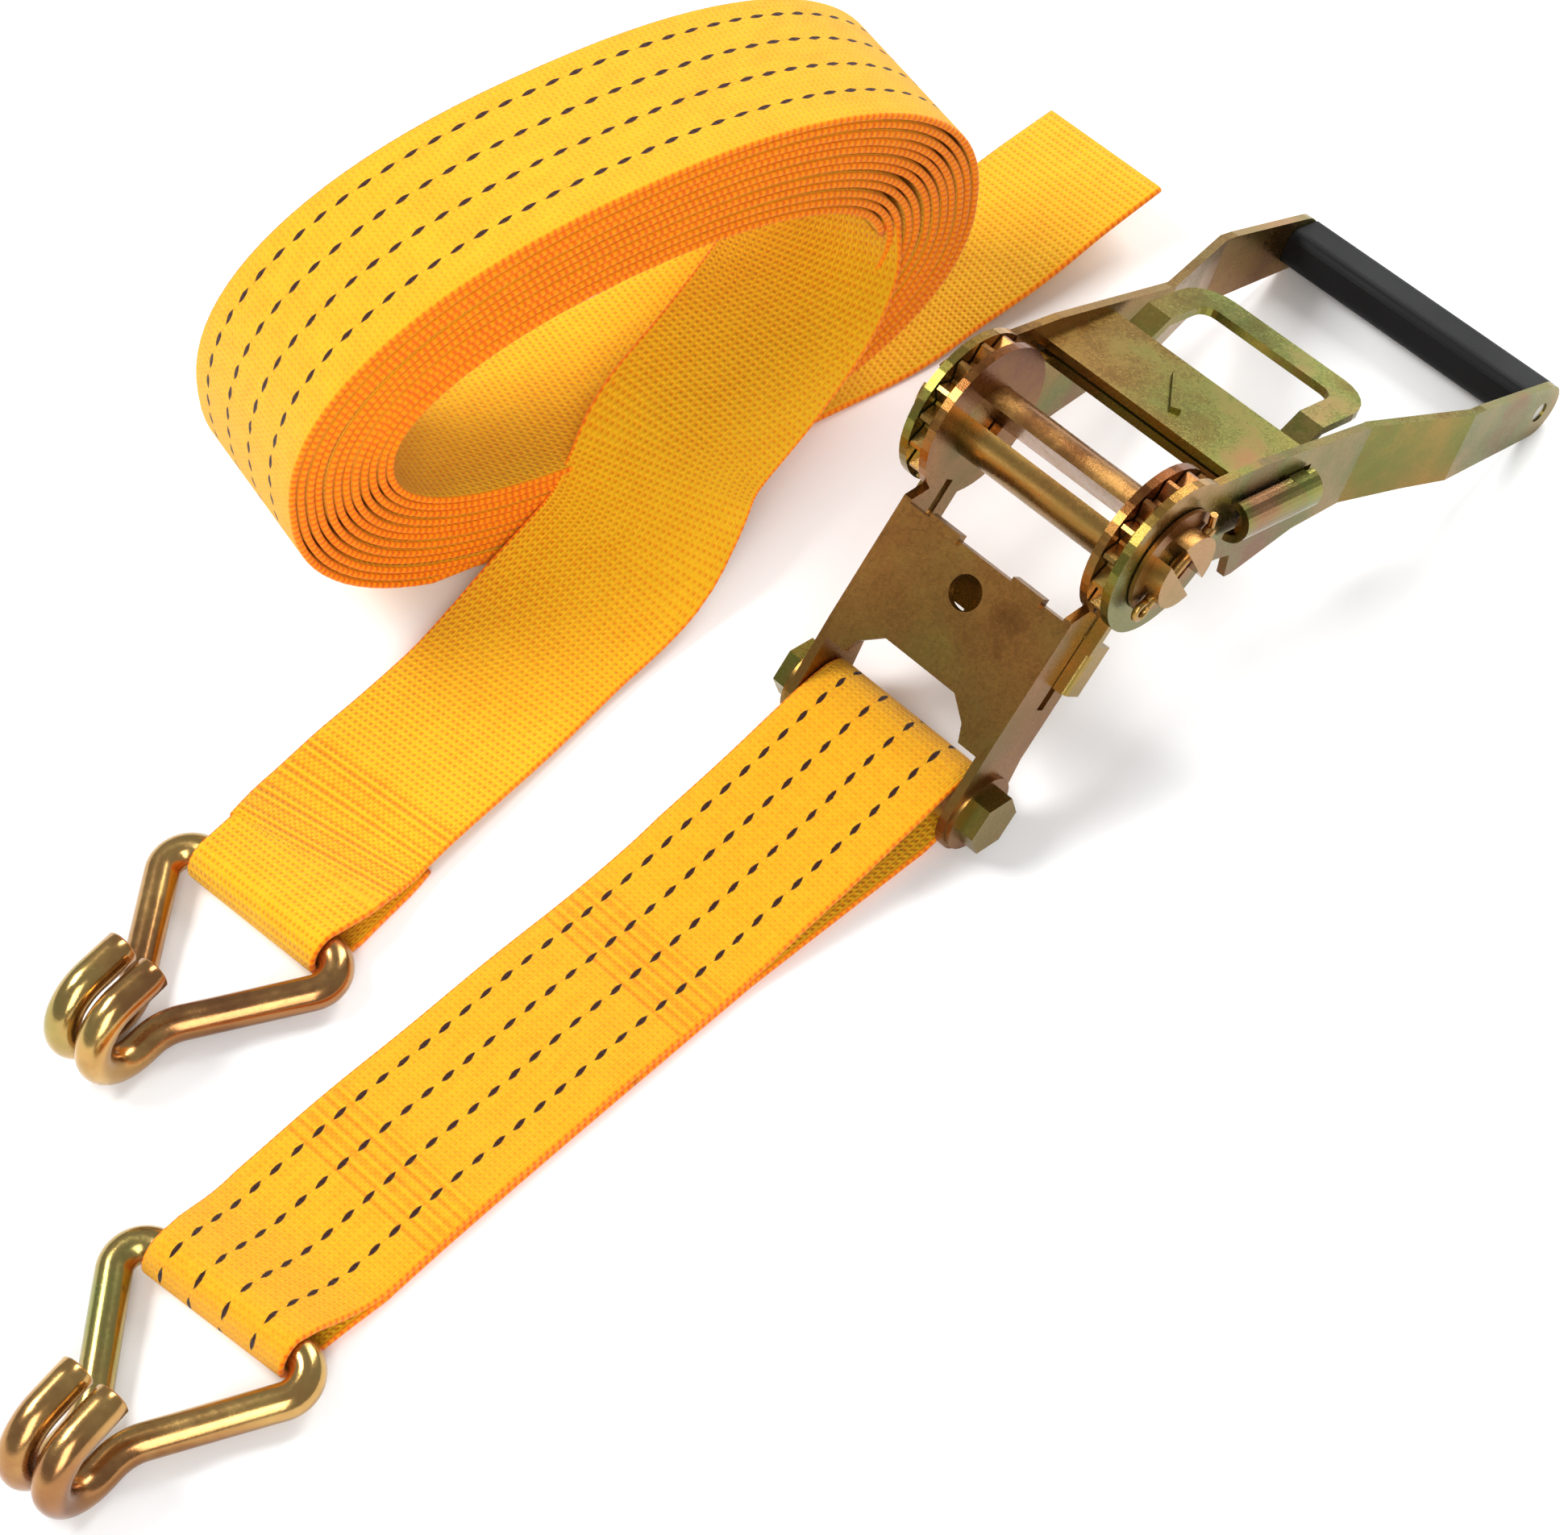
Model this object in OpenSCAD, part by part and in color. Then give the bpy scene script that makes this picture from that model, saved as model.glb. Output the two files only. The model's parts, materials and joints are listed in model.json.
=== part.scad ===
// Ratchet tie down: a hand ratchet with a short sewn strap and a wound long strap, each ending in a
// double wire hook. X runs along the short strap toward the grip, Y along the mandrel, Z up.
// The origin is under the middle of the whole set, on the surface that it lies on.

/* [Webbing] */
// Width of the webbing
web_w = 50; // [48:1:50]
// Thickness of one layer of webbing
web_t = 2.4; // [2:0.1:2.6]
// Distance from the bolt to the short strap's hook bar
short_reach = 221; // [180:1:260]

/* [Ratchet] */
// Distance from the bolt to the mandrel
base_len = 81.5; // [80:0.5:84]
// Lean of the base frame from the floor
base_tilt = 45.5; // [45.5:0.5:45.5]
// Slope of the handle down to the floor
handle_tilt = 22; // [22:0.5:22]
// Half the inner width of the base frame
base_in = 26; // [25.6:0.1:26]
// Thickness of the base and handle plates
plate_t = 2.5; // [2.3:0.1:2.5]
// Half the outer width of the handle at the grip
grip_half = 45; // [44:0.5:47]

/* [Wheels] */
// Number of teeth on each ratchet wheel
teeth = 16; // [16:8:16]
// Radius over the tooth tips
tip_r = 21.5; // [21.5:0.1:21.6]
// Radius at the bottom of the teeth
root_r = 17.4; // [17.2:0.1:17.4]

/* [Hooks] */
// Diameter of the hook wire
wire_d = 9; // [8:0.5:9]
// Radius of the hook's throat, to the wire's centre
throat_r = 12; // [11:0.5:13]

/* [Wound strap] */
// Length of the wound strap's coil
coil_len = 206; // [190:1:210]
// Height of the coil
coil_h = 119; // [110:1:124]
// Thickness of the coil's wall
coil_wall = 30; // [24:1:31]
// Turn of the coil away from the ratchet's axis
coil_turn = -12; // [-16:0.1:-10]

/* [Hidden] */
eps = 0.01;
gap = 0.4;
bolt_r = 5;
bolt_end_r = 12;
bolt_at = [19, 0, bolt_end_r];
mandrel_at = bolt_at + base_len * [cos(base_tilt), 0, sin(base_tilt)];
arm_tip_r = 8.5;
grip_p = (mandrel_at[2] - arm_tip_r) / sin(handle_tilt);
base_out = base_in + plate_t;
wheel_in = base_out + gap;
wheel_t = 3.5;
wheel_out = wheel_in + wheel_t;
arm_in = wheel_out + gap;
arm_out = arm_in + plate_t;
grip_in = grip_half - plate_t;
mandrel_r = 10.5;
shaft_gap = 0.05;
slot_half = 2.8;
slot_angle = 115;
mandrel_end = arm_out + 6.2;
pin_y = arm_out + 3.3;
pin_r = 1.5;
disc_r = 22;
web_top = 13;
plate_low = -7.5;
pitch = 360 / teeth;
valley_at = -handle_tilt + pitch;
slot_z = 1.25;
lock_rest = base_len - tip_r - gap;
pawl_low = 8;
pawl_top = 10.5;
cross_low = 11.3;
flare = [84, 122];
loop_in = wire_d / 2 + 0.4;
loop_half = 22;
hook_at = [bolt_at[0] - short_reach, 0, loop_in + web_t + 0.1];
hook_reach = 49.5;
hook_near = 5.4;
hook_dip = asin((hook_at[2] - wire_d / 2 - 0.1) / hook_reach);
bar_half = 21;
short_turn = 7;
eye_turn = 4;
eye_at = [-124.5, 77.5, hook_at[2]];
eye_lap = 40;
coil_at = [41.3, 131.4, web_t + 0.2 + coil_h / 2];

// The set's middle: from the hook's bend to the handle's tip, and from the grip to the coil's corner.
x_low = hook_at[0] - (hook_reach * cos(hook_dip) + throat_r * sin(hook_dip)) * cos(short_turn)
    - hook_near * sin(short_turn) - throat_r - wire_d / 2;
x_high = mandrel_at[0] + grip_p * cos(handle_tilt) + arm_tip_r;
y_high = coil_at[1] + coil_len / 2 * sin(-coil_turn) + web_w / 2 * cos(coil_turn);
middle = [(x_low + x_high) / 2, (y_high - grip_half) / 2, 0];

// Wound strap's stretch to its hook: middle of the strap, then the direction across it.
lead_route = [
    [-79, 82, 3.2, 0, -1, 0],
    [-62, 85, 4, 0.05, -1, 0],
    [-40, 88.5, 3.2, 0.05, -1, -0.03],
    [-15, 91, 7, 0.15, -1, -0.15],
    [10, 88.5, 15.5, 0.25, -0.95, -0.36],
    [24, 88.5, 25, 0.3, -0.9, -0.4],
    [38, 94.5, 33, 0.32, -0.86, -0.42],
    [64, 101.5, 39.5, 0.25, -0.88, -0.4],
    [88, 106.5, 45, 0.08, -0.95, -0.28],
    [104, 112, 52.5, -0.1, -0.97, -0.12],
    [111, 116.5, 62, -0.208, -0.978, 0],
];
// The outer end of the wound strap, from under the coil to its cut edge.
tail_route = [
    [10, 138, 1.3, -0.208, -0.978, 0],
    [80, 123.2, 1.3, -0.208, -0.978, 0],
    [130, 112.7, 1.8, -0.22, -0.975, 0.01],
    [170, 106, 6.5, -0.26, -0.955, 0.12],
    [211, 101.5, 13.5, -0.27, -0.95, 0.16],
];

steel = "darkkhaki";
yellow = "orange";

// ---- Points and sweeps ----
function arc(cx, cy, r, a0, a1, n) =
    [for (i = [0:n]) let (a = a0 + (a1 - a0) * i / n) [cx + r * cos(a), cy + r * sin(a)]];
function unit(v) = v / norm(v);
function across(t, n) = unit(n - (n * t) * t);
function tangent(p, i) = unit(p[min(i + 1, len(p) - 1)] - p[max(i - 1, 0)]);
// Side directions along a route, each carried on from the one before it, so the tube never twists.
function sides(p, first, i = 0, done = []) =
    i == len(p) ? done
    : sides(p, across(tangent(p, i), first), i + 1, concat(done, [across(tangent(p, i), first)]));

module skin(rings) {
    n = len(rings[0]);
    m = len(rings);
    polyhedron(
        points = [for (r = rings) each r],
        faces = concat(
            [[for (i = [0:n - 1]) i]],
            [for (j = [0:m - 2]) for (i = [0:n - 1]) let (k = (i + 1) % n)
                each [[j * n + i, (j + 1) * n + i, (j + 1) * n + k],
                      [j * n + i, (j + 1) * n + k, j * n + k]]],
            [[for (i = [n - 1:-1:0]) (m - 1) * n + i]]
        ),
        convexity = 6
    );
}

module tube(route, r, count, first) {
    s = sides(route, first);
    skin([for (i = [0:len(route) - 1])
        let (t = tangent(route, i), u = s[i], v = cross(t, u))
        [for (k = [0:count - 1]) let (a = -360 * k / count) route[i] + r * (cos(a) * u + sin(a) * v)]]);
}

// Flat strap swept along stations of [x, y, z, across x, y, z].
module ribbon(stations) {
    route = [for (s = stations) [s[0], s[1], s[2]]];
    skin([for (i = [0:len(route) - 1])
        let (t = tangent(route, i),
             w = across(t, [stations[i][3], stations[i][4], stations[i][5]]) * web_w / 2,
             n = unit(cross(t, w)) * web_t / 2)
        [route[i] + w + n, route[i] + w - n, route[i] - w - n, route[i] - w + n]]);
}

module spring(length, coil_r, wire_r, turns) {
    steps = turns * 12;
    tube([for (i = [0:steps]) let (a = 360 * i / 12)
        [wire_r + (length - 2 * wire_r) * i / steps, coil_r * cos(a), coil_r * sin(a)]],
        wire_r, 6, [0, 1, 0]);
}

// ---- Frames ----
module place() translate(-middle) children();
module in_base() place() translate(bolt_at) rotate([0, -base_tilt, 0]) children();
module in_handle() place() translate(mandrel_at) rotate([0, handle_tilt, 0]) children();
module in_mandrel() place() translate(mandrel_at) children();
// Outline in X and Z, from y0 to y1
module slab(y0, y1) translate([0, y1, 0]) rotate([90, 0, 0]) linear_extrude(y1 - y0) children();
// The same on both sides of the middle plane
module both(y0, y1) {
    slab(y0, y1) children();
    slab(-y1, -y0) children();
}
module sleeve(y0, y1, r) translate([0, y1, 0]) rotate([90, 0, 0]) cylinder(h = y1 - y0, r = r, $fn = 64);

// ---- Base ----
module base_side()
    polygon(concat(
        arc(0, 0, bolt_end_r, 95, 265, 16),
        [[16, plate_low]],
        arc(base_len, 0, disc_r, 200, 520, 40),
        [[57, web_top], [20, web_top]]
    ));

module base_frame() color(steel) in_base() difference() {
    union() {
        both(base_in, base_out) base_side();
        // Web with a stepped cut-out toward the strap
        translate([0, 0, web_top - plate_t]) linear_extrude(plate_t) polygon([
            [15, -base_in - 1], [15, -20], [19.5, -18], [24.5, -12],
            [24.5, 12], [19.5, 18], [15, 20], [15, base_in + 1],
            [56, base_in + 1], [56, -base_in - 1]
        ]);
        // Two raised lips on the web's upper edge
        for (y = [-14, 14]) translate([55, y - 5, web_top - plate_t]) cube([2.6, 10, plate_t + 1]);
        // Seat for the lock spring, bent down from the web
        translate([27.5, -7, -5]) cube([plate_t, 14, web_top + 3]);
    }
    sleeve(-50, 50, bolt_r + shaft_gap);
    translate([base_len, 0, 0]) sleeve(-50, 50, mandrel_r + shaft_gap);
    // Slots that the lock plate slides in
    translate([31, -50, -slot_z - gap]) cube([33, 100, 2 * (slot_z + gap)]);
    // Hole in the web
    translate([46.5, 0, web_top - 10]) cylinder(h = 20, r = 4.75, $fn = 48);
}

module strap_bolt() color(steel) in_base() {
    sleeve(-base_out - 1.5 - eps, base_out + 8, bolt_r);
    slab(-base_out - 6.8, -base_out - 1.5) circle(r = 8.66, $fn = 6);
}

module bolt_nut() color(steel) in_base() difference() {
    slab(base_out + 1.5, base_out + 6.8) circle(r = 8.66, $fn = 6);
    sleeve(0, 50, bolt_r + shaft_gap);
}

module bolt_washers() color(steel) in_base() difference() {
    for (y = [-base_out - 1.5, base_out]) sleeve(y, y + 1.5, 11);
    sleeve(-50, 50, bolt_r + shaft_gap);
}

module bolt_sleeve() color("silver") in_base() difference() {
    sleeve(-base_in + 0.3, base_in - 0.3, 6.8);
    sleeve(-50, 50, bolt_r + shaft_gap);
}

// ---- Lock plate ----
module lock_plate() color(steel) in_base() {
    difference() {
        translate([0, 0, -slot_z]) linear_extrude(2 * slot_z) union() {
            translate([40, -base_in + 0.4]) square([12, 2 * base_in - 0.8]);
            for (s = [-1, 1]) {
                translate([38, min(s * 24, s * (wheel_out - 1))]) square([15, wheel_out - 25]);
                translate([50, min(s * wheel_in, s * wheel_out)])
                    square([lock_rest - 50, wheel_t]);
            }
        }
        translate([30, -14, -5]) cube([12, 5, 10]);
        translate([30, 9, -5]) cube([12, 5, 10]);
    }
    // Finger ears, bent down outside the frame
    for (s = [-1, 1]) translate([38, 0, 0]) rotate([90, 0, 90]) linear_extrude(15)
        polygon(concat(
            [[s * (wheel_out - 3.2), slot_z]],
            [for (p = arc(wheel_out - 2.5, slot_z - 2.5, 2.5, 90, 0, 6)) [s * p[0], p[1]]],
            [[s * wheel_out, -7.2], [s * (wheel_out - plate_t), -7.2],
             [s * (wheel_out - plate_t), -slot_z], [s * (wheel_out - 3.2), -slot_z]]
        ));
    translate([36.5, 0, 0]) rotate([0, 90, 0]) cylinder(h = 3.6, r = 2, $fn = 32);
}

module lock_spring() color("dimgray") in_base()
    translate([27.5 + plate_t + 0.1, 0, 0]) spring(9.8, 3.2, 0.5, 4);

// ---- Mandrel ----
module mandrel_half(side) color(steel) in_mandrel() difference() {
    slab(-mandrel_end, mandrel_end) rotate(slot_angle) intersection() {
        circle(r = mandrel_r, $fn = 96);
        translate([-20, side > 0 ? slot_half : -20]) square([40, 20 - slot_half]);
    }
    for (y = [-pin_y, pin_y]) translate([0, y, 0]) rotate([0, -slot_angle, 0])
        cylinder(h = 40, r = pin_r + shaft_gap, center = true, $fn = 32);
}

module mandrel_half_front() mandrel_half(1);
module mandrel_half_rear() mandrel_half(-1);

module ratchet_wheel(y0) color("olive") in_mandrel() slab(y0, y0 + wheel_t) difference() {
    polygon([for (k = [0:teeth - 1]) let (a = valley_at + k * pitch)
        each [for (v = [[root_r, -1.5], [root_r, 1.5], [tip_r, pitch / 2 - 1.6], [tip_r, pitch / 2 + 1.6]])
            v[0] * [cos(a + v[1]), sin(a + v[1])]]]);
    rotate(slot_angle) for (m = [0, 1]) mirror([0, m]) intersection() {
        circle(r = mandrel_r + shaft_gap, $fn = 96);
        translate([-20, slot_half - shaft_gap]) square([40, 20]);
    }
}

module ratchet_wheel_near() ratchet_wheel(-wheel_out);
module ratchet_wheel_far() ratchet_wheel(wheel_in);

module mandrel_washers() color(steel) in_mandrel() difference() {
    for (s = [-1, 1]) sleeve(s * (arm_out + 1) - 0.6, s * (arm_out + 1) + 0.6, 15);
    sleeve(-60, 60, mandrel_r + shaft_gap);
}

module split_pins() color(steel) in_mandrel()
    for (y = [-pin_y, pin_y]) translate([0, y, 0]) rotate([0, -slot_angle, 0]) {
        cylinder(h = 25, r = pin_r, center = true, $fn = 32);
        translate([0, 0, 14.2]) rotate([90, 0, 0]) rotate_extrude($fn = 32)
            translate([2.4, 0]) circle(r = 0.9, $fn = 16);
        translate([0, 0, -12]) rotate([0, 125, 0]) cylinder(h = 5, r = 1, $fn = 24);
    }

// ---- Handle ----
module arm_side()
    polygon(concat(
        arc(0, 0, disc_r, 60, 335, 36),
        [[26, -9.5], [33, -10.5], [35.5, -18.5], [38.5, -18.5], [62, -12], [105, -9.5]],
        arc(grip_p, 0, arm_tip_r, -95, 85, 16),
        [[127, 12.5], [82, 14], [30, 18.8]]
    ));

// Plan of one arm: straight beside the wheel, then flared out to the grip
module arm_plan() polygon([
    [-disc_r - 1, arm_in], [flare[0], arm_in], [flare[1], grip_in], [grip_p + arm_tip_r + 1, grip_in],
    [grip_p + arm_tip_r + 1, grip_half], [flare[1] - 0.6, grip_half], [flare[0] - 0.6, arm_out],
    [-disc_r - 1, arm_out]
]);

module handle_frame() color(steel) in_handle() {
    difference() {
        union() {
            intersection() {
                slab(-60, 60) arm_side();
                translate([0, 0, -40]) linear_extrude(80) for (m = [0, 1]) mirror([0, m]) arm_plan();
            }
            // Cross plate that joins the arms
            translate([26, -arm_in - 1, cross_low]) cube([30, 2 * arm_in + 2, plate_t]);
            // Pressed rib on the cross plate
            translate([41, 0, cross_low + plate_t]) rotate([0, 0, 35]) cube([18, 3, 2.4], center = true);
        }
        sleeve(-60, 60, mandrel_r + shaft_gap);
        translate([grip_p, 0, 0]) sleeve(-60, 60, 3 + shaft_gap);
        // Slots that the pawl's wings slide in
        translate([41.3, -60, pawl_low - gap]) cube([15.4, 120, pawl_top - pawl_low + 2 * gap]);
    }
    // Stops that the pawl springs push on
    for (s = [-1, 1]) translate([57, min(s * (arm_out - 0.5), s * (arm_out + 4)), 3])
        cube([2, 4.5, 3.4]);
}

module handle_grip() color([0.1, 0.1, 0.1]) in_handle() translate([grip_p, 0, 0]) difference() {
    slab(-grip_in + 0.1, grip_in - 0.1) polygon(concat(
        arc(5, 2.5, 4, 90, 0, 6), arc(5, -1.5, 4, 0, -90, 6),
        arc(-3.5, -1.5, 3.5, -90, -180, 6), arc(-3.5, 3, 3.5, 180, 90, 6)
    ));
    sleeve(-60, 60, 3 + shaft_gap);
}

module grip_rod() color("silver") in_handle() translate([grip_p, 0, 0])
    sleeve(-grip_half + 0.5, grip_half - 0.5, 3);

// ---- Pawl ----
module pawl_slide() color("yellowgreen") in_handle() {
    // Plate under the cross plate, with the wings that pass through the arms
    translate([0, 0, pawl_low]) linear_extrude(pawl_top - pawl_low) difference() {
        union() {
            translate([26, -30]) square([31, 60]);
            translate([46, -arm_out - 2.5]) square([7, 2 * arm_out + 5]);
        }
        translate([44, 0]) circle(r = 6, $fn = 48);
    }
    // Teeth in line with the wheels
    both(wheel_in, wheel_out - 0.1) polygon([
        [20.95, 6.95], [22.2, 6.7], [23.6, pawl_low], [32, pawl_low], [32, pawl_top], [22.8, pawl_top]
    ]);
    // Arms that rise to the finger bar
    both(22, 30) polygon([
        [56, pawl_low], [60.5, pawl_low], [67.5, 13], [69, 13], [69, 15.5], [66.5, 15.5],
        [59.5, pawl_top], [56, pawl_top]
    ]);
    translate([0, 0, 13]) linear_extrude(2.5) polygon(concat(
        [[68, -30]], arc(81, -19, 11, -90, 0, 6), arc(81, 19, 11, 0, 90, 6), [[68, 30], [68, 22]],
        arc(79, 18, 4, 90, 0, 4), arc(79, -18, 4, 0, -90, 4), [[68, -22]]
    ));
    // Rolled ears outside the arms, each with an end that its spring pushes on
    for (s = [-1, 1]) translate([22.5, 0, 0]) rotate([90, 0, 90]) {
        linear_extrude(33.5) polygon([for (p = concat(
            arc(arm_out + 0.9, 4.7, 5.8, -90, 90, 14), arc(arm_out + 0.9, 4.7, 3.8, 90, -90, 12)
        )) [s * p[0], p[1]]]);
        translate([0, 0, 4.5]) linear_extrude(2) polygon([for (p = arc(arm_out + 0.9, 4.7, 4.2, -90, 90, 12)) [s * p[0], p[1]]]);
    }
}

module pawl_spring(s) color("dimgray") in_handle()
    translate([29.1, s * (arm_out + 2.6), 4.7]) spring(27.8, 1.5, 0.4, 9);

module pawl_spring_near() pawl_spring(-1);
module pawl_spring_far() pawl_spring(1);

// ---- Straps ----
// Plan of a strap that narrows to fit between the hook's corners, with the hook's bar at x = 0
module narrowed(length) translate([0, 0, -30]) linear_extrude(60) polygon([
    [-20, loop_half], [12, loop_half], [26, web_w / 2], [length, web_w / 2],
    [length, -web_w / 2], [26, -web_w / 2], [12, -loop_half], [-20, -loop_half]
]);

// Folded and sewn end of a strap, round a hook's bar at the origin
module sewn_eye() intersection() {
    narrowed(eye_lap);
    slab(-web_w / 2, web_w / 2) difference() {
        polygon(concat(
            arc(0, 0, loop_in + web_t, 270, 85, 20),
            [[34, 2 * web_t + 0.2 - hook_at[2]], [eye_lap, 2 * web_t + 0.2 - hook_at[2]],
             [eye_lap, 0.1 - hook_at[2]]]
        ));
        polygon(concat(arc(0, 0, loop_in, 265, 85, 20), [[26, web_t + 0.2 - hook_at[2]]]));
    }
}

// Closed band round the bolt's sleeve, its two layers together on the way to the hook
module short_strap() color(yellow) place() {
    slab(-web_w / 2, web_w / 2) difference() {
        polygon(concat(
            arc(bolt_at[0], bolt_at[2], 7.2 + web_t, 100, -100, 24),
            [[-14, 0.2], [hook_at[0] + eye_lap - 6, 0.2],
             [hook_at[0] + eye_lap - 6, 2 * web_t + 0.1], [-52, 2 * web_t + 0.1], [-14, 14.5]]
        ));
        polygon(concat(arc(bolt_at[0], bolt_at[2], 7.2, 100, -100, 24), [[-44, web_t + 0.1], [-14, 11.4]]));
    }
    translate(hook_at) rotate([0, 0, short_turn]) sewn_eye();
}

module long_strap_eye() color(yellow) place() translate(eye_at) rotate([0, 0, eye_turn]) sewn_eye();

module coil_outline(a, b, n) polygon([for (i = [0:71]) let (t = 5 * i, c = cos(t), s = sin(t))
    [a * sign(c) * pow(abs(c), 2 / n), b * sign(s) * pow(abs(s), 2 / n)]]);

module long_strap_coil() color(yellow) place() translate(coil_at) rotate([0, 0, coil_turn])
    slab(-web_w / 2, web_w / 2) difference() {
        coil_outline(coil_len / 2, coil_h / 2, 2.3);
        coil_outline(coil_len / 2 - coil_wall, coil_h / 2 - coil_wall, 2.1);
    }

module long_strap_lead() color(yellow) place() ribbon(lead_route);
module long_strap_tail() color(yellow) place() ribbon(tail_route);

// ---- Hooks ----
// Half of the wire's route: along the bar, round the corner, in beside the other half, and up
// round the throat to the tip. s is the side.
function hook_half(s) = let (corner = 7, inward = 35, blend = 16, near = hook_near, reach = hook_reach, tip = 11,
        out = arc(-corner, bar_half, corner, 0, 90 + inward, 8),
        last = out[8],
        blend_y = near + blend * (1 - cos(inward)),
        run = (last[1] - blend_y) / sin(inward),
        into = arc(last[0] - run * cos(inward) - blend * sin(inward), near + blend, blend,
            -90 + inward, -90, 4))
    concat(
        [for (p = out) [p[0], s * p[1], 0]],
        [for (i = [4:-1:0]) let (a = inward * i / 4)
            [last[0] - run * cos(inward) - blend * sin(inward) + blend * sin(a),
             s * (near + blend * (1 - cos(a))), 0]],
        [for (i = [0:14]) let (a = -90 - 180 * i / 14)
            [-reach + throat_r * cos(a), s * near, throat_r + throat_r * sin(a)]],
        [[-reach + tip, s * near, 2 * throat_r]]
    );
hook_route = concat(
    [for (i = [len(hook_half(1)) - 1:-1:0]) hook_half(-1)[i]], hook_half(1));

module hook() rotate([0, -hook_dip, 0]) tube(hook_route, wire_d / 2, 12, [0, 0, 1]);

module hook_short() color(steel) place() translate(hook_at) rotate([0, 0, short_turn]) hook();
module hook_long() color(steel) place() translate(eye_at) rotate([0, 0, eye_turn]) hook();

base_frame();
strap_bolt();
bolt_nut();
bolt_washers();
bolt_sleeve();
lock_plate();
lock_spring();
mandrel_half_front();
mandrel_half_rear();
ratchet_wheel_near();
ratchet_wheel_far();
mandrel_washers();
split_pins();
handle_frame();
handle_grip();
grip_rod();
pawl_slide();
pawl_spring_near();
pawl_spring_far();
short_strap();
hook_short();
long_strap_coil();
long_strap_lead();
long_strap_tail();
long_strap_eye();
hook_long();
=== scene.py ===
"""Looks of the ratchet tie down: materials, webbing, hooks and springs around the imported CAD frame.

Lengths are in millimetres while a shape is made and in metres in the meshes."""
import json
import math

import bpy
import numpy as np
from mathutils import Matrix, Vector, noise


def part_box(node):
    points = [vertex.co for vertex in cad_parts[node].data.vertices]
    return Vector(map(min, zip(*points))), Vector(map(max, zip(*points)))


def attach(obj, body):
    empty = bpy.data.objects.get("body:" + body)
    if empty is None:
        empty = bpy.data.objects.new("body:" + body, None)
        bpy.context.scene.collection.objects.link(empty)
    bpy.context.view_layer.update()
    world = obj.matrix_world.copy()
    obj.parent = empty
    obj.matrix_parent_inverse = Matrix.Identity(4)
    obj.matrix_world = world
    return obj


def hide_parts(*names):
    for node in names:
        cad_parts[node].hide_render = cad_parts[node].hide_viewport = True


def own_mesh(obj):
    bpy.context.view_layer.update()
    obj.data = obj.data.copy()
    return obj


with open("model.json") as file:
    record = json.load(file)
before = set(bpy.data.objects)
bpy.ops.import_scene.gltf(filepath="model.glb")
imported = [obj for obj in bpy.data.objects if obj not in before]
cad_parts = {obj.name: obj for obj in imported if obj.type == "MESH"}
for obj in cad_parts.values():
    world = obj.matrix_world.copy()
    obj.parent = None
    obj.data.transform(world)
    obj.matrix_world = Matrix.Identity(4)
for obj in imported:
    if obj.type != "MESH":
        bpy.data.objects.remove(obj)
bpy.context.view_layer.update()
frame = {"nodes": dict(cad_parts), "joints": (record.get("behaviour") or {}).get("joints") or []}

MM = 0.001

# ---------------------------------------------------------------- places, from the frame
joints = {j["name"]: j for j in frame["joints"]}


def joint_at(name):
    return Vector(joints[name]["pos_m"]) / MM


bolt = joint_at("strap_swing")
mandrel = joint_at("handle_fold")
short_bar = joint_at("short_hook_swing")
long_bar = joint_at("long_hook_swing")
layout = Vector((bolt.x - 19, bolt.y, 0))   # where the straps' lists of points start from
coil_low, coil_high = (Vector(c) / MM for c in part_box("long_strap_coil"))
coil_middle = (coil_low + coil_high) / 2

# ---------------------------------------------------------------- sizes
web_w = 50.0
web_t = 2.0
edge_r = 0.7                # how far the webbing's rounded edges reach in
hook_narrow = 0.88          # the webbing's share of its width where it is gathered on a hook's bar
hook_spread = 26.0          # how far from the bar it has its whole width again
hook_reach, throat_r, wire_r = 49.5, 12.0, 4.5
hook_dip = math.asin((short_bar.z - wire_r - 0.1) / hook_reach)
loop_r = wire_r + 0.5 + web_t / 2
coil_turn = math.radians(-12)
coil_half, coil_half_h = 103.0, 59.5
turns = 11.75
turn_pitch = 2.55
coil_along = Vector((math.cos(coil_turn), math.sin(coil_turn), 0))
coil_near = Vector((math.sin(coil_turn), -math.cos(coil_turn), 0))


def turn_of(name):
    """A hook's turn in plan, from its swing axis along the bar."""
    axis = joints[name]["axis"]
    return math.atan2(-axis[0], axis[1])


short_turn, long_turn = turn_of("short_hook_swing"), turn_of("long_hook_swing")


# ---------------------------------------------------------------- camera, lights, floor
def make_camera():
    """A long lens that looks from the hooks' side, 55 degrees up."""
    azimuth, elevation, roll = (math.radians(a) for a in (43.66, 55.07, 1.62))
    distance = 949.85
    aim = Vector((bolt.x + mandrel.x, bolt.y * 2, 0)) / 2 + Vector((-47.56, 20.3, 0))
    back = Vector((-math.cos(azimuth) * math.cos(elevation),
                   -math.sin(azimuth) * math.cos(elevation), math.sin(elevation)))
    flat_right = Vector((math.sin(azimuth), -math.cos(azimuth), 0))
    flat_up = back.cross(flat_right)
    right = math.cos(roll) * flat_right + math.sin(roll) * flat_up
    up = math.cos(roll) * flat_up - math.sin(roll) * flat_right
    camera = bpy.data.objects.new("camera", bpy.data.cameras.new("camera"))
    camera.data.sensor_width = 36
    camera.data.lens = 84.4
    camera.data.clip_start, camera.data.clip_end = 0.05, 20
    camera.matrix_world = Matrix.Translation((aim + back * distance) * MM) @ Matrix(
        (right, up, back)).transposed().to_4x4()
    bpy.context.collection.objects.link(camera)
    bpy.context.scene.camera = camera


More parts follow.
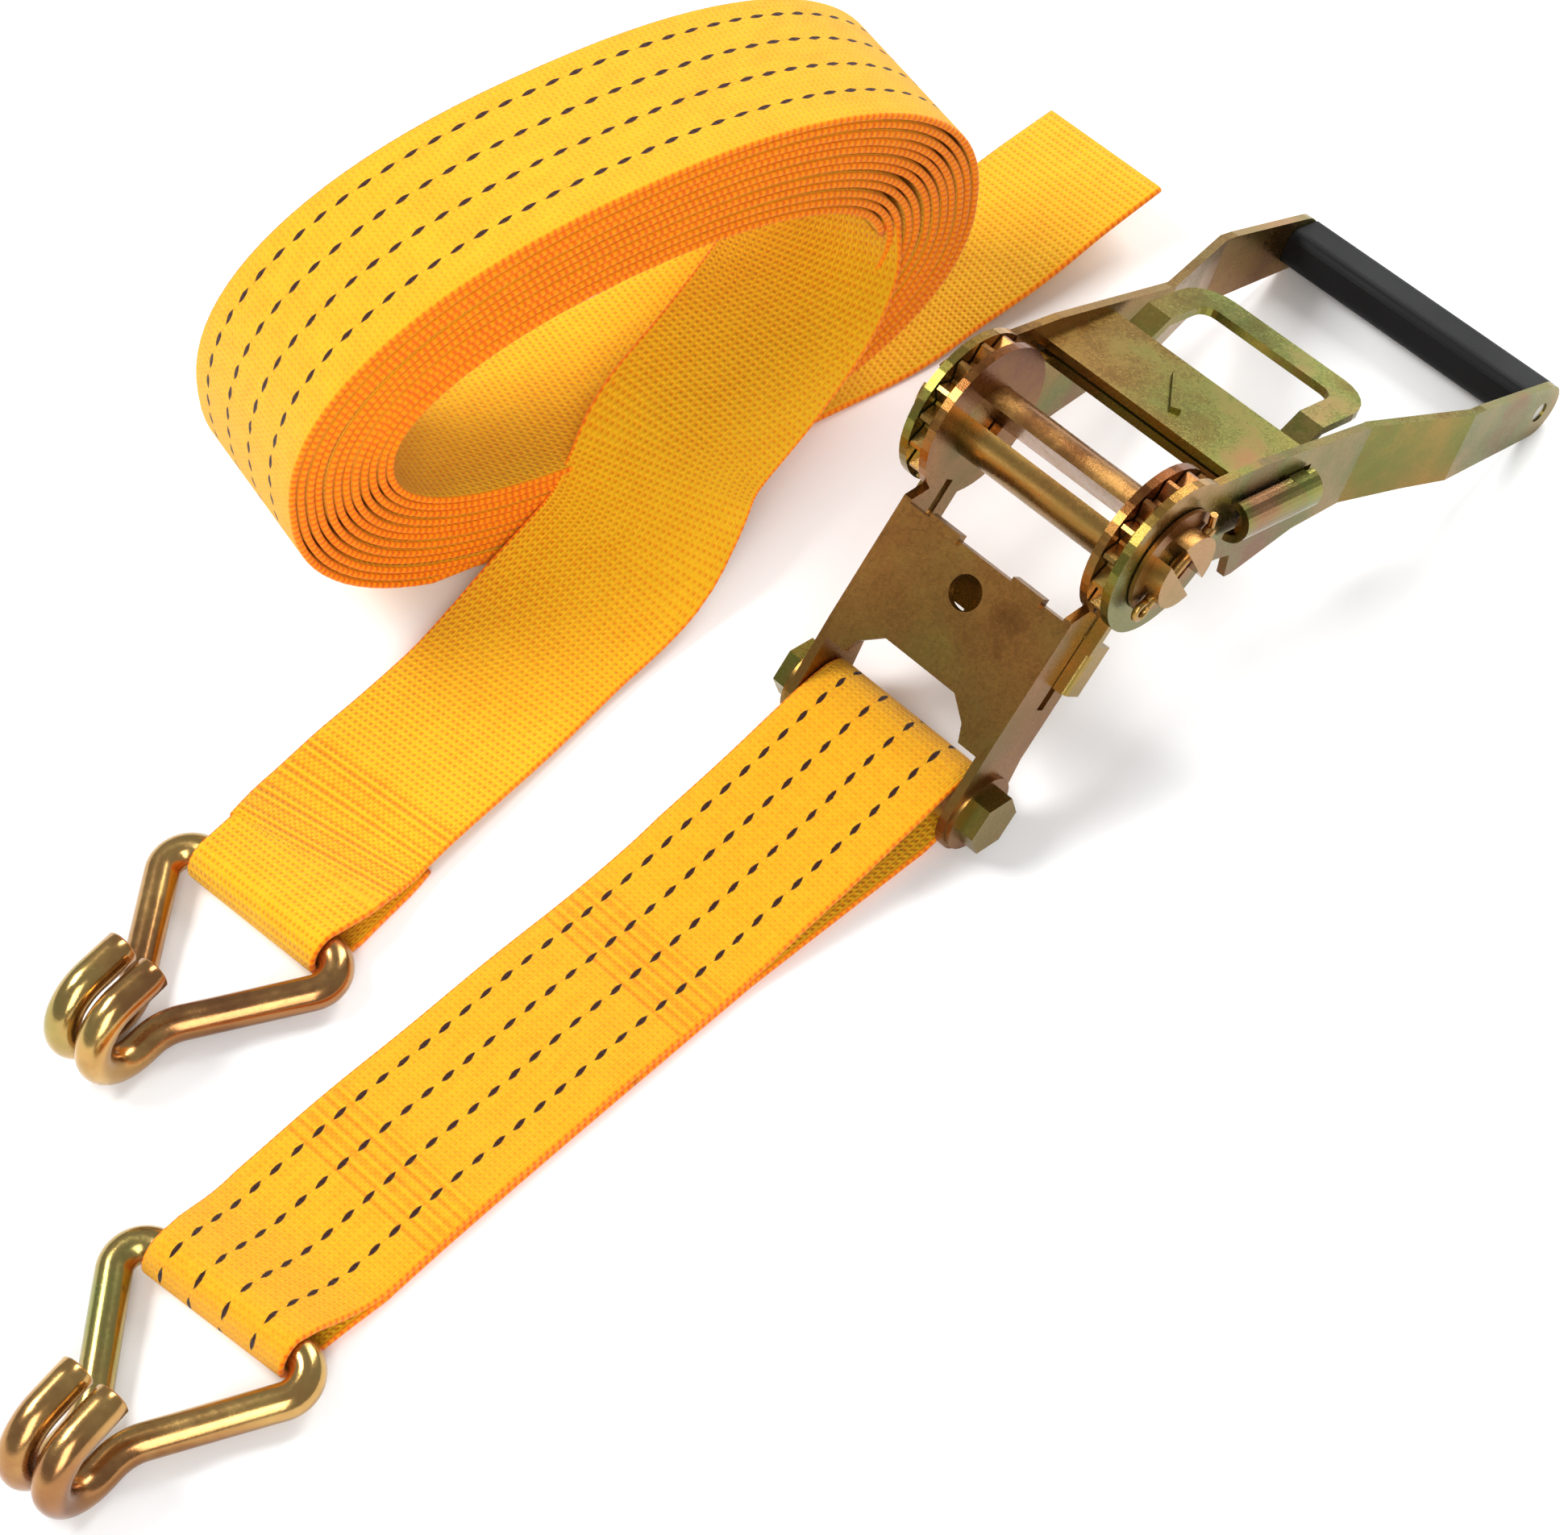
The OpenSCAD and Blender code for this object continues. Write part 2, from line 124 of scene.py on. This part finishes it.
def area_light(name, place, aim, size, power):
    light = bpy.data.lights.new(name, "AREA")
    light.shape = "RECTANGLE"
    light.size, light.size_y = size
    light.energy = power
    lamp = bpy.data.objects.new(name, light)
    lamp.location = place
    lamp.rotation_euler = (Vector(aim) - Vector(place)).to_track_quat("-Z", "Y").to_euler()
    bpy.context.collection.objects.link(lamp)


def make_studio():
    area_light("key", (-0.55, 0.75, 1.25), (0, 0, 0), (0.7, 0.5), 20)
    area_light("fill", (-0.9, -0.9, 0.9), (0, 0, 0), (0.6, 1.2), 16)
    area_light("rim", (1.1, 0.1, 0.8), (0.1, 0, 0.05), (0.4, 1.0), 14)
    world = bpy.data.worlds.new("studio")
    bpy.context.scene.world = world
    world.use_nodes = True
    sky = world.node_tree.nodes["Background"]
    sky.inputs["Color"].default_value = (0.92, 0.95, 1.0, 1)
    sky.inputs["Strength"].default_value = 0.42
    bpy.context.scene.view_settings.view_transform = "Standard"
    half = 6
    mesh = bpy.data.meshes.new("floor")
    corners = [(-half, -half, 0), (half, -half, 0), (half, half, 0), (-half, half, 0)]
    mesh.from_pydata(corners, [], [(0, 1, 2, 3)])
    floor = bpy.data.objects.new("floor", mesh)
    bpy.context.collection.objects.link(floor)
    mesh.materials.append(plain("floor_paper", (0.93, 0.93, 0.92), 0.9))


# ---------------------------------------------------------------- material tools
class Nodes:
    """A material's node tree, with short calls for the nodes used here."""

    def __init__(self, name):
        self.material = bpy.data.materials.new(name)
        self.material.use_nodes = True
        self.tree = self.material.node_tree
        self.shader = self.tree.nodes["Principled BSDF"]

    def add(self, kind, inputs=None, **settings):
        node = self.tree.nodes.new(kind)
        for key, value in settings.items():
            setattr(node, key, value)
        for key, value in (inputs or {}).items():
            self.put(value, node.inputs[key])
        return node

    def put(self, value, socket):
        """Links a node's output to the socket, or sets the socket's own value."""
        if isinstance(value, bpy.types.NodeSocket):
            self.tree.links.new(value, socket)
        else:
            socket.default_value = value

    def math(self, operation, a, b=0.0, c=0.0):
        return self.add("ShaderNodeMath", {0: a, 1: b, 2: c}, operation=operation).outputs[0]

    def wave(self, x, period):
        """sin of 2 pi x / period"""
        return self.math("SINE", self.math("MULTIPLY", x, 2 * math.pi / period))

    def noise(self, scale, detail=2.0, vector=None, roughness=0.5):
        inputs = {"Scale": scale, "Detail": detail, "Roughness": roughness}
        if vector is not None:
            inputs["Vector"] = vector
        return self.add("ShaderNodeTexNoise", inputs).outputs["Fac"]

    def step(self, value, low, high, to_low=0.0, to_high=1.0):
        return self.add("ShaderNodeMapRange", {
            "Value": value, "From Min": low, "From Max": high, "To Min": to_low, "To Max": to_high,
        }).outputs[0]

    def mix(self, factor, a, b, blend="MIX"):
        node = self.add("ShaderNodeMix", data_type="RGBA", blend_type=blend)
        self.put(factor, node.inputs["Factor"])
        for socket, value in ((node.inputs[6], a), (node.inputs[7], b)):
            self.put((*value, 1) if isinstance(value, tuple) else value, socket)
        return node.outputs[2]

    def ramp(self, value, *stops):
        node = self.add("ShaderNodeValToRGB", {"Fac": value})
        ramp = node.color_ramp
        ramp.elements[0].position, ramp.elements[0].color = stops[0][0], (*stops[0][1], 1)
        ramp.elements[1].position, ramp.elements[1].color = stops[-1][0], (*stops[-1][1], 1)
        for position, colour in stops[1:-1]:
            ramp.elements.new(position).color = (*colour, 1)
        return node.outputs["Color"]

    def bump(self, height, strength, distance):
        inputs = {"Height": height, "Strength": strength, "Distance": distance}
        return self.add("ShaderNodeBump", inputs).outputs[0]

    def surface(self, **values):
        names = {"colour": "Base Color", "metal": "Metallic", "rough": "Roughness", "normal": "Normal",
                 "sheen": "Sheen Weight", "sheen_rough": "Sheen Roughness", "specular": "Specular IOR Level"}
        for key, value in values.items():
            if isinstance(value, tuple):
                value = (*value, 1)
            self.put(value, self.shader.inputs[names[key]])
        return self.material


def plain(name, colour, rough):
    n = Nodes(name)
    return n.surface(colour=colour, rough=rough)


# ---------------------------------------------------------------- webbing
def tracer_mask(n, mm_across, mm_along, wobble, lines):
    """1 on the black tracer dashes, which are slim leaves, one row at each of lines across the strap."""
    pitch, half_long, half_wide, row_shift, slant = 6.8, 2.35, 0.72, 1.9, 0.09
    mask = None
    for k, place in enumerate(lines):
        along = n.math("WRAP", n.math("ADD", mm_along, row_shift * k), pitch / 2, -pitch / 2)
        share = n.math("DIVIDE", along, half_long)
        width = n.math("MULTIPLY", n.math("SUBTRACT", 1.0, n.math("MULTIPLY", share, share)), half_wide)
        jitter = n.math("MULTIPLY_ADD", wobble, 0.5, -0.25)
        off = n.math("ABSOLUTE", n.math("ADD", n.math("MULTIPLY_ADD", along, slant, jitter),
                                        n.math("SUBTRACT", mm_across, place)))
        inside = n.step(n.math("SUBTRACT", width, off), -0.08, 0.12)
        mask = inside if mask is None else n.math("MAXIMUM", mask, inside)
    return mask


def webbing(name, light, deep, lines=(), relief=0.75, sewn=()):
    """Ribbed polyester webbing. UV is in metres: across the strap, and along it. lines are the places
    across the strap, in mm, of rows of black tracer dashes, and sewn the stretches along it, in mm, that
    cross rows of stitching press down. The face with tracers is woven finer than the plain one."""
    # shading is the strength of the painted shade that the weave's height puts into the colour
    if lines:
        rib_pitch, bead_height, rib_height, shading = 1.65, 0.4, 0.3, 0.28
    else:
        rib_pitch, bead_height, rib_height, shading = 2.1, 0.7, 0.6, 0.34
    yarn_pitch, stitch_pitch = 1.7, 2.8
    n = Nodes(name)
    uv = n.add("ShaderNodeUVMap", uv_map="strap").outputs[0]
    split = n.add("ShaderNodeSeparateXYZ", {0: uv}).outputs
    mm_across = n.math("MULTIPLY", split[0], 1000.0)
    mm_along = n.math("MULTIPLY", split[1], 1000.0)
    # Warp yarns along the strap, floating over the ribs that the weft makes across it
    wobble = n.noise(90, 2)
    rib = n.wave(n.math("MULTIPLY_ADD", wobble, 0.35, mm_along), rib_pitch)
    beads = n.math("MULTIPLY", n.wave(mm_across, yarn_pitch), rib)
    fine = n.math("MULTIPLY", n.wave(mm_across, yarn_pitch / 2), 0.25)
    height = n.math("MULTIPLY_ADD", beads, bead_height, n.math("MULTIPLY_ADD", rib, rib_height, fine))
    height = n.math("MULTIPLY_ADD", n.noise(2600, 2), 0.5, height)
    # Rows of stitching press grooves into the relief, which the colour below darkens as painted shade
    for start, end in sewn:
        begun, unended = n.step(mm_along, start - 1, start + 1), n.step(mm_along, end + 1, end - 1)
        inside = n.math("MULTIPLY", begun, unended)
        rows = n.math("MULTIPLY", n.math("SUBTRACT", n.wave(mm_along, stitch_pitch), 0.6), inside)
        height = n.math("MULTIPLY_ADD", rows, 0.6, height)
    # Colour: painted shade, deeper in the weave's hollows and in the stitch rows and lighter on its crests,
    # and blotchy along the length
    patch = n.math("MULTIPLY_ADD", n.noise(28, 3), 0.4, 0.3)
    colour = n.ramp(n.math("MULTIPLY_ADD", height, shading, patch), (0.1, deep), (0.7, light))
    if lines:
        colour = n.mix(tracer_mask(n, mm_across, mm_along, wobble, lines), colour, (0.035, 0.008, 0.004))
    normal = n.bump(height, relief, 0.0005)
    return n.surface(colour=colour, rough=0.62, normal=normal, sheen=0.1, sheen_rough=0.4, specular=0.2)


def grid_mesh(name, rings, materials, face_slot, uv_at=None):
    """A closed tube of rings of points, each joined to the next, with the last material on its two ends.
    face_slot(k) gives the material of a ring's face k, and uv_at(ring, k) the UV of its corner k."""
    count = len(rings[0])
    points = [tuple(p * MM) for ring in rings for p in ring]
    faces, slots, uvs = [], [], []
    for j in range(len(rings) - 1):
        for k in range(count):
            m = (k + 1) % count
            faces.append((j * count + k, j * count + m, (j + 1) * count + m, (j + 1) * count + k))
            slots.append(face_slot(k))
            if uv_at:
                uvs += [uv_at(j, k), uv_at(j, k + 1), uv_at(j + 1, k + 1), uv_at(j + 1, k)]
    last = len(rings) - 1
    faces += [tuple(range(count - 1, -1, -1)), tuple(range(last * count, (last + 1) * count))]
    slots += [len(materials) - 1] * 2
    mesh = bpy.data.meshes.new(name)
    mesh.from_pydata(points, [], faces)
    for material in materials:
        mesh.materials.append(material)
    mesh.polygons.foreach_set("material_index", slots)
    mesh.polygons.foreach_set("use_smooth", [True] * len(faces))
    if uv_at:
        uvs += [uv_at(0, k) for k in range(count - 1, -1, -1)]
        uvs += [uv_at(last, k) for k in range(count)]
        layer = mesh.uv_layers.new(name="strap")
        layer.data.foreach_set("uv", [c for uv in uvs for c in uv])
    mesh.update()
    piece = bpy.data.objects.new(name, mesh)
    bpy.context.collection.objects.link(piece)
    return piece


face_parts = 12
edge_angles = (0.6, 1.2, 1.94, 2.54)


def strap_section():
    """The webbing's cross-section: outer face, edge, inner face, edge, as (across, out) in mm."""
    half, t = web_w / 2, web_t / 2
    face = [(-half + edge_r + (web_w - 2 * edge_r) * i / face_parts, t) for i in range(face_parts + 1)]
    edge = [(half - edge_r + edge_r * math.sin(a), t * math.cos(a)) for a in edge_angles]
    return face + edge + [(-x, -y) for x, y in face + edge]


def route_length(stations):
    return sum((b[0] - a[0]).length for a, b in zip(stations, stations[1:]))


def strap_mesh(name, stations, materials):
    """A strap swept along stations of (centre, across, width share). Its outer face is across x along.
    The materials are the outer face's, the inner face's and the edges'."""
    section = strap_section()
    count = len(section)
    centres = [s[0] for s in stations]
    last = len(centres) - 1
    lengths = [0.0]
    for a, b in zip(centres, centres[1:]):
        lengths.append(lengths[-1] + (b - a).length)
    rings = []
    for i, (centre, across, share) in enumerate(stations):
        along = (centres[min(i + 1, last)] - centres[max(i - 1, 0)]).normalized()
        across = (across - along * across.dot(along)).normalized()
        out = across.cross(along)
        rings.append([centre + across * (x * share) + out * y for x, y in section])

    def uv_at(j, k):
        return ((section[k % count][0] + web_w / 2) * MM, lengths[j] * MM)

    def face_slot(k):
        """0 on the outer face, 1 on the inner face, 2 on the edges."""
        side, place = divmod(k, count // 2)
        return side if place < face_parts else 2

    return grid_mesh(name, rings, materials, face_slot, uv_at)


def smooth_path(points, step=4.0):
    """Points (centre and across) on a Catmull-Rom curve through the given ones, about step mm apart."""
    done = []
    for i in range(len(points) - 1):
        quad = [points[max(i - 1, 0)], points[i], points[i + 1], points[min(i + 2, len(points) - 1)]]
        parts = max(2, round((quad[2][0] - quad[1][0]).length / step))
        for k in range(parts):
            t = k / parts
            weights = (-t ** 3 + 2 * t * t - t, 3 * t ** 3 - 5 * t * t + 2,
                       -3 * t ** 3 + 4 * t * t + t, t ** 3 - t * t)
            done.append(tuple(sum((q[c] * (w / 2) for q, w in zip(quad, weights)), Vector()) for c in (0, 1)))
    done.append(points[-1][:2])
    return done


def gathered(away):
    """The webbing's width share, away mm from a hook's bar."""
    return hook_narrow + (1 - hook_narrow) * min(1.0, max(0.0, away / hook_spread))


def in_coil(x, z, y=0.0):
    """A point x along the coil, z above its middle and y toward the ratchet."""
    return coil_middle + coil_along * x + Vector((0, 0, z)) + coil_near * y


def tail_route():
    """From the long strap's cut end to where it passes under the coil."""
    tip = layout + Vector((212.3, 101.9, 14.2))
    points = [
        (tip, Vector((-0.27, -0.95, 0.16))),
        (tip + Vector((-19, 2.3, -3.4)), Vector((-0.265, -0.953, 0.14))),
        (tip + Vector((-42, 5.0, -8.2)), Vector((-0.26, -0.955, 0.1))),
        (tip + Vector((-66, 9.2, -11.6)), Vector((-0.256, -0.96, 0.04))),
        (in_coil(85, 1.25 - coil_middle.z), coil_near),
        (in_coil(55, 1.15 - coil_middle.z), coil_near),
        (in_coil(20, 1.15 - coil_middle.z), coil_near),
    ]
    return [(place, across, 1.0) for place, across in smooth_path(points)]


def coil_route():
    """The turns, from the outermost, under the coil, inward on flattened ovals."""
    steps, first = 96, 10

    def slack(turn, at, size):
        """A turn that stands away from the one outside it, from turn at on."""
        return size / (1 + math.exp(-(turn - at) * 9))

    route = []
    for i in range(first, round(turns * steps) + 1):
        turn = i / steps
        angle = -math.pi / 2 - 2 * math.pi * turn
        c, s = math.cos(angle), math.sin(angle)
        depth = turn_pitch * (turn - 1) + web_t / 2
        depth += 0.14 * math.sin(2.3 * turn) * math.sin(7.1 * turn)
        depth += (slack(turn, 7.6, 0.9) + slack(turn, 9.4, 0.7)) * max(0.0, c) ** 2
        inward = max(0.0, turn - 1) / turns
        power = 2 / (2.3 - 0.2 * inward)
        x = (coil_half - depth) * math.copysign(abs(c) ** power, c)
        z = (coil_half_h - depth) * math.copysign(abs(s) ** power, s)
        if turn < 1 and z < 0 and abs(c) < 0.2:
            z = min(z, -(coil_half_h + 1.3) * abs(s) ** power)
        drift = 0.7 * noise.noise(Vector((turn * 1.7, 3.1, 0))) + 0.25 * math.sin(turn * 12.1)
        route.append((in_coil(x, z, drift), coil_near, 1.0))
    return route


def wound_strap_route():
    """The long strap in one piece: cut end, under the coil, round it, out to its hook and round the bar."""
    route = tail_route() + coil_route()
    eye = Vector((math.cos(long_turn), math.sin(long_turn), 0))
    eye_near = Vector((math.sin(long_turn), -math.cos(long_turn), 0))

    def in_eye(x, z):
        return long_bar + eye * x + Vector((0, 0, z))

    lead = [
        ((104, 112, 52.5), (-0.1, -0.97, -0.12)),
        ((88, 106.5, 45), (0.08, -0.95, -0.28)),
        ((64, 101.5, 39.5), (0.25, -0.88, -0.4)),
        ((38, 98, 33), (0.32, -0.86, -0.42)),
        ((24, 93.5, 25), (0.3, -0.9, -0.4)),
        ((10, 91, 15.5), (0.25, -0.95, -0.36)),
        ((-15, 91, 7.5), (0.15, -1, -0.15)),
        ((-40, 88.5, 4.2), (0.05, -1, -0.03)),
        ((-62, 86.3, 4.6), (0.04, -1, 0)),
        ((-80, 84.6, 5.6), (0.05, -1, 0)),
        ((-97, 82.4, 6.2), (0.07, -1, 0)),
    ]
    points = [(route[-1][0], coil_near)]
    points += [(layout + Vector(place), Vector(across).normalized()) for place, across in lead]
    points.append((in_eye(12, loop_r - 2.2), eye_near))
    for place, across in smooth_path(points)[1:]:
        route.append((place, across, gathered((place - long_bar).dot(eye))))
    # Round the hook's bar and back under the lead, a little slanted
    for a in np.radians(np.linspace(80, 270, 13)):
        route.append((in_eye(loop_r * math.cos(a), loop_r * math.sin(a)), eye_near, hook_narrow))
    low = 1.15 - long_bar.z
    for x in range(4, 33, 4):
        route.append((in_eye(x, low) - eye_near * 0.16 * max(0, x - 8), eye_near, gathered(x)))
    return route


def short_strap_route():
    """The short strap's band: from under its middle, round the hook's bar, over the top, round the bolt."""
    sleeve_r = 7.3 + web_t / 2
    low, high = 0.15 + web_t / 2, 0.3 + 1.5 * web_t
    open_length = 71
    loop_open = bolt.x - open_length

    def plan(x):
        """Sideways place and across direction: it leaves the bar square to it and bows a little."""
        away = x - short_bar.x
        bow, lean = 3.6, math.tan(short_turn)
        fade = 1 - 0.8 * min(1.0, max(0.0, (x - loop_open) / open_length))
        if away < 0:
            return away * lean, Vector((lean, -1, 0)).normalized()
        decay = math.exp(-away * lean / bow)
        return fade * bow * (1 - decay), Vector((lean * decay, -1, 0)).normalized()

    def station(x, z):
        y, across = plan(x)
        return Vector((x, bolt.y + y, z)), across, gathered(x - short_bar.x)

    seam = (short_bar.x + bolt.x) / 2
    route = [station(x, low) for x in np.arange(seam, short_bar.x + 3, -4.0)]
    route += [station(short_bar.x + loop_r * math.cos(a), short_bar.z + loop_r * math.sin(a))
              for a in np.radians(np.linspace(265, 85, 13))]
    top_angle = math.radians(104)
    start, end = short_bar.x + 3, bolt.x + sleeve_r * math.cos(top_angle)
    peak = bolt.z + sleeve_r * math.sin(top_angle)
    for x in np.linspace(start, end, 60)[1:-1]:
        near_hook = math.exp(-((x - short_bar.x) / 14) ** 2)
        top = high + (short_bar.z + loop_r - high - 0.4) * near_hook
        top += 0.6 * math.sin(x / 17.0) ** 2 * (1 - near_hook)
        rise = (x - loop_open) / (end - loop_open)
        eased = 0.5 * (rise + math.sqrt(rise * rise + 0.006))
        top += (peak - high) * eased * min(1, max(0, rise + 0.3) * 2)
        route.append(station(x, min(top, peak)))
    route += [station(bolt.x + sleeve_r * math.cos(a), bolt.z + sleeve_r * math.sin(a))
              for a in np.linspace(top_angle, math.radians(-97), 16)]
    route += [station(x, low) for x in np.arange(bolt.x - 12, seam, -4.0)]
    route.append(station(seam, low))
    return route


def make_strap(name, body, nodes, route, materials):
    strap = strap_mesh(name, route, materials)
    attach(strap, body)
    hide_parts(*nodes)
    route_length(route) * MM


def make_straps():
    light, deep = (1.0, 0.50, 0.008), (0.90, 0.24, 0.0)
    tracers = (7.0, 17.6, 28.6, 39.6)
    wound_route, short_route = wound_strap_route(), short_strap_route()
    # Where each strap comes off its hook's bar, along its length: the sewn rows are placed from there
    wound_bar = route_length(wound_route) - 55
    short_bar_top = (bolt.x - short_bar.x) / 2 + 13
    short_sewn = [(short_bar_top + start, short_bar_top + end) for start, end in ((48, 66), (132, 150))]
    wound_sewn = [(wound_bar - 44, wound_bar - 12)]
    outer = webbing("webbing_outer", light, deep, tracers)
    sewn_outer = webbing("webbing_sewn", light, deep, tracers, sewn=short_sewn)
    inner = webbing("webbing_inner", (1.0, 0.54, 0.008), (0.9, 0.27, 0.0), sewn=wound_sewn)
    # The edges get a deeper orange copy of the webbing: painted shade on the webbing's edges
    edge = webbing("webbing_edge_painted_shade", (1.0, 0.30, 0.0), (0.85, 0.13, 0.0), relief=0.35)
    make_strap("long_strap", "long_strap",
               ("long_strap_coil", "long_strap_lead", "long_strap_tail", "long_strap_eye"),
               wound_route, [outer, inner, edge])
    make_strap("short_strap_band", "short_strap", ("short_strap",),
               short_route, [sewn_outer, inner, edge])


# ---------------------------------------------------------------- metal
def zinc(name, tone, rough, tint=(1.0, 1.0, 1.0), grain=0.25):
    """Yellow-passivated zinc: brown and gold that drift to olive and green, with fine rolling marks.
    A higher tone is greener, and tint darkens the colours."""
    n = Nodes(name)
    place = n.add("ShaderNodeTexCoord").outputs["Object"]
    drift = n.noise(11, 1.5, place)
    second = n.noise(60, 4, place, 0.6)
    film = n.math("MULTIPLY_ADD", second, 0.3, n.math("MULTIPLY_ADD", drift, 1.1, tone - 0.2))
    colour = n.ramp(film, (0.22, (0.17, 0.065, 0.03)), (0.38, (0.32, 0.15, 0.055)),
                    (0.48, (0.48, 0.29, 0.095)), (0.57, (0.36, 0.27, 0.085)), (0.66, (0.22, 0.25, 0.07)),
                    (0.76, (0.30, 0.16, 0.09)))
    colour = n.mix(1.0, colour, tint, "MULTIPLY")
    scratch = n.noise(900, 3, place, 0.7)
    fine = n.noise(3000, 1, place)
    roughness = n.step(n.math("MULTIPLY_ADD", second, 0.6, n.math("MULTIPLY", scratch, 0.4)), 0.3, 0.7,
                       rough - 0.1, rough + 0.14)
    normal = n.bump(n.math("MULTIPLY_ADD", scratch, 0.6, fine), grain, 0.0001)
    return n.surface(colour=colour, metal=0.96, rough=roughness, normal=normal)


def bare_steel(name, colour, rough):
    """Drawn steel, with darker clouds and a fine grain."""
    n = Nodes(name)
    place = n.add("ShaderNodeTexCoord").outputs["Object"]
    grey = n.noise(60, 4, place)
    tint = n.mix(n.step(grey, 0.3, 0.7), tuple(0.75 * c for c in colour), colour)
    normal = n.bump(n.noise(1500, 2, place), 0.15, 0.0001)
    return n.surface(colour=tint, metal=1.0, rough=rough, normal=normal)


def grip_plastic():
    """Black moulded plastic, with a fine grain and a patchy, dull polish."""
    n = Nodes("grip_plastic")
    place = n.add("ShaderNodeTexCoord").outputs["Object"]
    cloud = n.noise(25, 3, place)
    colour = n.mix(cloud, (0.002, 0.002, 0.0022), (0.006, 0.006, 0.0065))
    rough = n.step(cloud, 0.3, 0.7, 0.5, 0.66)
    normal = n.bump(n.noise(1800, 3, place), 0.3, 0.0002)
    return n.surface(colour=colour, rough=rough, normal=normal, specular=0.16)


def paint(node, material):
    """Gives a CAD node its finish."""
    mesh = frame["nodes"][node].data
    mesh.materials.clear()
    mesh.materials.append(material)


def paint_nodes():
    finishes = [
        (zinc("zinc_frame", -0.1, 0.27, (0.6, 0.45, 0.34)),
         ("base_frame", "bolt_washers", "mandrel_washers")),
        (zinc("zinc_handle", 0.02, 0.25, (0.72, 0.62, 0.42)), ("handle_frame", "strap_bolt", "bolt_nut")),
        (zinc("zinc_green", 0.08, 0.24, (0.85, 0.8, 0.6)), ("pawl_slide",)),
        (zinc("zinc_brown", -0.08, 0.25, (0.85, 0.72, 0.6)),
         ("lock_plate", "mandrel_half_front", "mandrel_half_rear", "ratchet_wheel_near", "ratchet_wheel_far",
          "split_pins")),
        (bare_steel("bare_steel", (0.6, 0.58, 0.53), 0.3), ("bolt_sleeve", "grip_rod")),
        (grip_plastic(), ("handle_grip",)),
    ]
    for material, nodes in finishes:
        for node in nodes:
            paint(node, material)


# ---------------------------------------------------------------- hooks and springs
def tube(name, route, radius, sides, first, material):
    """A round wire along a route, a little smaller at its ends. first is a direction across its start."""
    rings = []
    side = Vector(first)
    last = len(route) - 1
    for i, centre in enumerate(route):
        along = (route[min(i + 1, last)] - route[max(i - 1, 0)]).normalized()
        side = (side - along * side.dot(along)).normalized()
        other = along.cross(side)
        r = radius * 0.88 if i in (0, last) else radius
        rings.append([centre + (side * math.cos(a) + other * math.sin(a)) * r
                      for a in (2 * math.pi * k / sides for k in range(sides))])
    return grid_mesh(name, rings, [material], lambda k: 0)


def hook_half(s):
    """Half of a hook's wire on side s, from the middle of the bar to its tip, in the hook's own frame."""
    corner, bar_half, inward, blend, near, tip = 7.0, 21.0, math.radians(35), 16.0, 5.4, 11.0
    points = [Vector((0, s * y, 0)) for y in (0, 7, 14)]
    points += [Vector((-corner + corner * math.cos(a), s * (bar_half + corner * math.sin(a)), 0))
               for a in np.linspace(0, math.pi / 2 + inward, 18)]
    # The leg runs in to the shank, which it meets on an easy curve
    end = points[-1]
    blend_y = near + blend * (1 - math.cos(inward))
    run = (abs(end.y) - blend_y) / math.sin(inward)
    turn_x = end.x - run * math.cos(inward) - blend * math.sin(inward)
    points += [Vector((turn_x + blend * math.sin(a), s * (near + blend * (1 - math.cos(a))), 0))
               for a in np.linspace(inward, 0, 8)]
    points += [Vector((-hook_reach + throat_r * math.cos(a), s * near, throat_r + throat_r * math.sin(a)))
               for a in np.linspace(-math.pi / 2, -3 * math.pi / 2, 30)]
    points += [Vector((tip - hook_reach - back, s * near, 2 * throat_r)) for back in (4, 0.5, 0)]
    return points


def make_hook(name, node, body, at, turn, material):
    half = hook_half(-1)[:0:-1] + hook_half(1)
    place = Matrix.Translation(at) @ Matrix.Rotation(turn, 4, "Z") @ Matrix.Rotation(-hook_dip, 4, "Y")
    hook = tube(name, [place @ p for p in half], wire_r, 28, (0, 0, 1), material)
    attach(hook, body)
    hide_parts(node)


def make_spring(name, node, body, start, axis, size, coils, material):
    """A coil spring of size (length, coil radius, wire radius) along axis, its end turns closed up."""
    length, coil_r, wire = size
    side = Vector((0, 1, 0))
    other = axis.cross(side)
    steps = round(coils * 20)
    route = []
    for i in range(steps + 1):
        t = i / steps
        eased = t - 0.35 / coils * math.sin(2 * math.pi * t)
        a = 2 * math.pi * coils * t
        route.append(start + axis * (wire + (length - 2 * wire) * eased)
                     + (side * math.cos(a) + other * math.sin(a)) * coil_r)
    spring = tube(name, route, wire, 10, axis, material)
    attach(spring, body)
    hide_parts(node)
    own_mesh(spring)


def make_wires():
    wire = zinc("zinc_wire", -0.04, 0.19, grain=0.12)
    make_hook("short_hook_wire", "hook_short", "short_hook", short_bar, short_turn, wire)
    make_hook("long_hook_wire", "hook_long", "long_hook", long_bar, long_turn, wire)
    steel = bare_steel("spring_steel", (0.36, 0.34, 0.3), 0.32)
    up_base = Vector(joints["lock_slide"]["axis"]).normalized()
    lock_seat = bolt + up_base * 30.1
    make_spring("lock_coil", "lock_spring", "base", lock_seat, up_base, (9.8, 3.2, 0.5), 4,
                steel)
    out_handle = Vector(joints["pawl_pull"]["axis"]).normalized()
    up_handle = Vector((-out_handle.z, 0, out_handle.x))
    ear_start, ear_height, ear_side = 29.1, 4.7, 37.9
    for s, side in ((-1, "near"), (1, "far")):
        start = mandrel + out_handle * ear_start + up_handle * ear_height + Vector((0, s * ear_side, 0))
        make_spring(f"pawl_coil_{side}", f"pawl_spring_{side}", "handle", start, out_handle,
                    (27.8, 1.5, 0.4), 9, steel)


make_camera()
make_studio()
make_straps()
paint_nodes()
make_wires()
